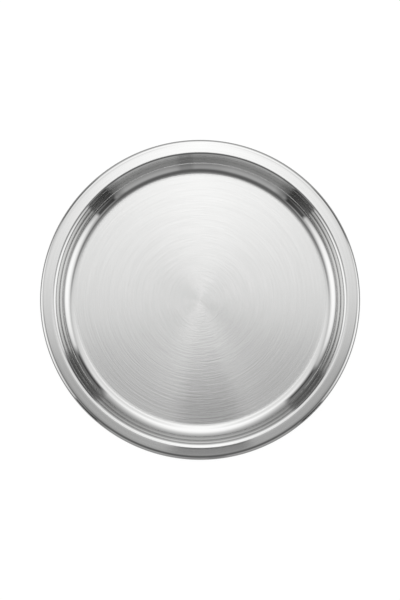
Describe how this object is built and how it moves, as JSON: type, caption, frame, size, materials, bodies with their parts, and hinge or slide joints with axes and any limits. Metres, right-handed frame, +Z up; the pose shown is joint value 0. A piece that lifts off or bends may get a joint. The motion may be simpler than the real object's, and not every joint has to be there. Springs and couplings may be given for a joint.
{
  "type": "thali plate",
  "caption": "Round, shallow steel serving plate with a flat brushed floor, a steep low wall, a flat brim and an edge rolled over a wire.",
  "frame": {"origin": "centre of the floor's underside, the face that the plate stands on", "axes": "+Z up through the middle of the plate, the open side upwards; +Y is the top of the picture and +X its right"},
  "size_m": [0.3, 0.3, 0.0189],
  "materials": {
    "spun_sheet": "floor turned to a fine concentric satin, wall, brim and rolled edge polished bright",
    "drawn_wire": "plain drawn wire, dull"
  },
  "bodies": {
    "root": {"plate": "spun_sheet", "rim_wire": "drawn_wire"}
  },
  "joints": []
}
